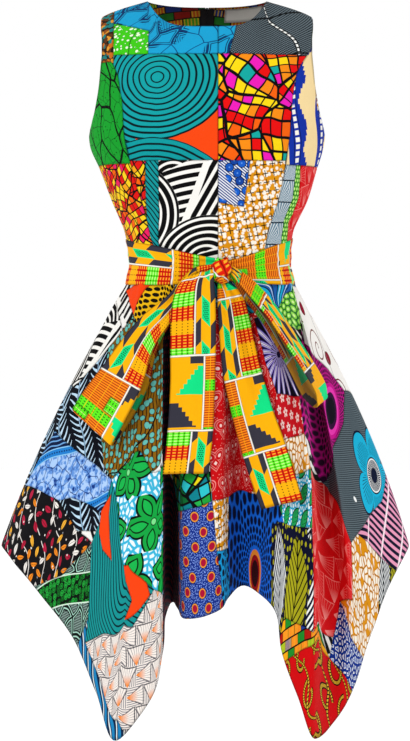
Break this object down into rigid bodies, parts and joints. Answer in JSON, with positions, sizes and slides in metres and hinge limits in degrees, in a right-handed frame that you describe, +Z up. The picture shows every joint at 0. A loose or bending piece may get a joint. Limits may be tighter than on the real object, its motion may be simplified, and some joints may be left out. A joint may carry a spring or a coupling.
{
  "type": "sleeveless ankara wax print patchwork dress",
  "caption": "Sleeveless dress of wax print patchwork: fitted princess bodice, zip at the centre back, square skirt hanging in points, and a wide sash tied in a front bow.",
  "frame": {"origin": "midway between the two shoulder seams at their necks' level line, where a wearer's shoulders carry the dress", "axes": "-Y is the front of the dress, +X the wearer's left, +Z up"},
  "size_m": [0.637, 0.4795, 1.1253],
  "materials": {
    "patchwork_front": "printed plain-weave cotton",
    "patchwork_side": "printed plain-weave cotton",
    "patchwork_back": "printed plain-weave cotton",
    "patchwork_skirt": "printed plain-weave cotton",
    "kente_print": "kente pattern printed on plain-weave cotton",
    "zip_tape": "woven polyester zip tape and coil",
    "zip_metal": "dark lacquered zip slider",
    "label_cloth": "bare woven label"
  },
  "bodies": {
    "dress": {"bodice_front_centre_left": "patchwork_front", "bodice_front_centre_right": "patchwork_front", "bodice_front_side_left": "patchwork_side", "bodice_front_side_right": "patchwork_side", "bodice_back_centre_left": "patchwork_back", "bodice_back_centre_right": "patchwork_back", "bodice_back_side_left": "patchwork_side", "bodice_back_side_right": "patchwork_side", "skirt_front_left": "patchwork_skirt", "skirt_front_right": "patchwork_skirt", "skirt_back_left": "patchwork_skirt", "skirt_back_right": "patchwork_skirt", "zip_coil": "zip_tape", "zip_tape_left": "zip_tape", "zip_tape_right": "zip_tape", "zip_slider": "zip_metal", "neck_label": "label_cloth", "sash_band": "kente_print", "sash_knot": "kente_print", "bow_loop_left": "kente_print", "bow_loop_right": "kente_print", "sash_tail_left": "kente_print", "sash_tail_right": "kente_print"},
    "pull_tab": {"zip_pull_tab": "zip_metal"}
  },
  "joints": [
    {"name": "pull_tab_hinge", "type": "hinge", "parent": "dress", "child": "pull_tab", "pos_m": [0, 0.07133, -0.00781], "axis": [1, 0, 0], "range_deg": [0, 150]}
  ]
}
